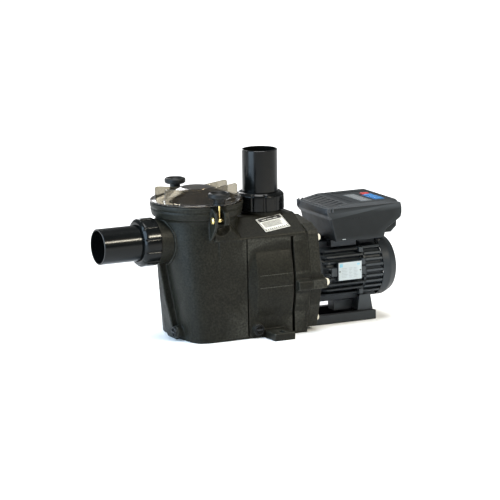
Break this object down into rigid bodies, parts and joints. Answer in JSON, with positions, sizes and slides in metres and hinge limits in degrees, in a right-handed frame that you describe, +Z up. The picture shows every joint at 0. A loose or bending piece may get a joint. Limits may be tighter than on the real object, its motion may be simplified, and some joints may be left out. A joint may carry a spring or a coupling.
{
  "type": "pool pump",
  "caption": "Self-priming pool pump: strainer pot under a clamped clear lid, union-coupled suction and discharge pipes, finned motor with a variable-speed drive on top.",
  "frame": {"origin": "on the ground plane under the centre line of the discharge pipe, on the pump housing's flat underside", "axes": "+X along the shaft from the strainer to the motor, +Z up along the discharge pipe, -Y the side with the nameplate"},
  "size_m": [0.6765, 0.292, 0.382],
  "materials": {
    "housing_moulding": "grained moulding, satin",
    "pipe_gloss": "glossy",
    "knob_satin": "satin",
    "lid_smoke": "clear, smoke tinted, polished",
    "brass_fittings": "turned, slightly dulled",
    "bolt_cream": "coated, satin",
    "steel_turned": "turned",
    "seal_rubber": "matt",
    "filled_plastic": "moulded, satin",
    "basket_brown": "moulded, satin",
    "seal_ceramic": "lapped",
    "motor_paint": "cast, painted, satin",
    "drive_moulding": "fine grained moulding, satin",
    "base_plastic": "moulded, satin",
    "core_laminations": "stamped, varnished",
    "winding_copper": "enamelled wire",
    "nameplate_silver": "satin, blank",
    "board_green": "solder masked",
    "display_grey": "clear window over a grey display",
    "key_red": "moulded, satin",
    "key_blue": "moulded, satin"
  },
  "bodies": {
    "root": {"pump_housing": "housing_moulding", "motor_bracket": "housing_moulding", "suction_tailpipe": "pipe_gloss", "discharge_tailpipe": "pipe_gloss", "cable_gland": "knob_satin", "front_pivot_pin": "brass_fittings", "rear_pivot_pin": "brass_fittings", "flange_bolt_1": "bolt_cream", "flange_bolt_2": "bolt_cream", "flange_bolt_3": "bolt_cream", "flange_bolt_4": "bolt_cream", "flange_bolt_5": "bolt_cream", "flange_bolt_6": "bolt_cream", "front_bearing_outer_race": "steel_turned", "rear_bearing_outer_race": "steel_turned", "suction_union_seal": "seal_rubber", "discharge_union_seal": "seal_rubber", "lid_seal": "seal_rubber", "diffuser_seal": "seal_rubber", "housing_seal": "seal_rubber", "diffuser": "filled_plastic", "strainer_basket": "basket_brown", "basket_handle": "basket_brown", "seal_seat": "seal_ceramic", "motor_frame": "motor_paint", "motor_front_endshield": "motor_paint", "motor_rear_endshield": "motor_paint", "fan_cover": "motor_paint", "motor_pedestal": "motor_paint", "drive_body": "drive_moulding", "drive_cover": "drive_moulding", "motor_base": "base_plastic", "stator_core": "core_laminations", "stator_winding": "winding_copper", "motor_nameplate": "nameplate_silver", "drive_circuit_board": "board_green", "display_window": "display_grey"},
    "rotor": {"motor_shaft": "steel_turned", "rotor_core": "core_laminations", "impeller": "filled_plastic", "impeller_screw": "steel_turned", "seal_head": "seal_rubber", "seal_spring": "steel_turned", "water_slinger": "seal_rubber", "front_bearing_inner_race": "steel_turned", "rear_bearing_inner_race": "steel_turned", "cooling_fan": "filled_plastic"},
    "lid": {"strainer_lid": "lid_smoke"},
    "front_bolt": {"front_swing_bolt": "brass_fittings"},
    "rear_bolt": {"rear_swing_bolt": "brass_fittings"},
    "front_knob": {"front_hand_knob": "knob_satin"},
    "rear_knob": {"rear_hand_knob": "knob_satin"},
    "suction_nut": {"suction_union_nut": "pipe_gloss"},
    "discharge_nut": {"discharge_union_nut": "pipe_gloss"},
    "strainer_plug": {"strainer_drain_plug": "knob_satin"},
    "volute_plug": {"volute_drain_plug": "knob_satin"},
    "stop_key": {"stop_button": "key_red"},
    "start_key": {"start_button": "key_blue"},
    "down_key": {"down_button": "key_blue"},
    "up_key": {"up_button": "key_blue"}
  },
  "joints": [
    {"name": "rotor_spin", "type": "hinge", "parent": "root", "child": "rotor", "pos_m": [0.17, 0, 0.11], "axis": [1, 0, 0], "continuous": true},
    {"name": "front_bolt_swing", "type": "hinge", "parent": "root", "child": "front_bolt", "pos_m": [-0.147, -0.105, 0.26], "axis": [1, 0, 0], "range_deg": [0, 110]},
    {"name": "rear_bolt_swing", "type": "hinge", "parent": "root", "child": "rear_bolt", "pos_m": [-0.147, 0.105, 0.26], "axis": [-1, 0, 0], "range_deg": [0, 110]},
    {"name": "lid_lift", "type": "slide", "parent": "root", "child": "lid", "axis": [0, 0, 1], "range_m": [0, 0.0232]},
    {"name": "front_knob_turn", "type": "hinge", "parent": "front_bolt", "child": "front_knob", "pos_m": [-0.147, -0.105, 0.3], "axis": [0, 0, 1], "continuous": true},
    {"name": "rear_knob_turn", "type": "hinge", "parent": "rear_bolt", "child": "rear_knob", "pos_m": [-0.147, 0.105, 0.3], "axis": [0, 0, 1], "continuous": true},
    {"name": "suction_nut_turn", "type": "hinge", "parent": "root", "child": "suction_nut", "pos_m": [-0.27, 0, 0.2085], "axis": [1, 0, 0], "continuous": true},
    {"name": "discharge_nut_turn", "type": "hinge", "parent": "root", "child": "discharge_nut", "pos_m": [0, 0, 0.274], "axis": [0, 0, 1], "continuous": true},
    {"name": "strainer_plug_turn", "type": "hinge", "parent": "root", "child": "strainer_plug", "pos_m": [-0.218, -0.033, 0.019], "axis": [1, 0, 0], "continuous": true},
    {"name": "volute_plug_turn", "type": "hinge", "parent": "root", "child": "volute_plug", "pos_m": [-0.057, -0.101, 0.019], "axis": [0, 1, 0], "continuous": true},
    {"name": "stop_button_press", "type": "slide", "parent": "root", "child": "stop_key", "axis": [0, 0, -1], "range_m": [0, 0.0015], "stiffness_N_per_m": 300, "springref_m": -0.001},
    {"name": "start_button_press", "type": "slide", "parent": "root", "child": "start_key", "axis": [0, 0, -1], "range_m": [0, 0.0015], "stiffness_N_per_m": 300, "springref_m": -0.001},
    {"name": "down_button_press", "type": "slide", "parent": "root", "child": "down_key", "axis": [0, 0, -1], "range_m": [0, 0.0015], "stiffness_N_per_m": 300, "springref_m": -0.001},
    {"name": "up_button_press", "type": "slide", "parent": "root", "child": "up_key", "axis": [0, 0, -1], "range_m": [0, 0.0015], "stiffness_N_per_m": 300, "springref_m": -0.001}
  ],
  "couplings": [
    {"joint": "rear_bolt_swing", "follows": "front_bolt_swing", "ratio": 1},
    {"joint": "lid_lift", "follows": "front_bolt_swing", "m_per_rad": 0.012}
  ]
}
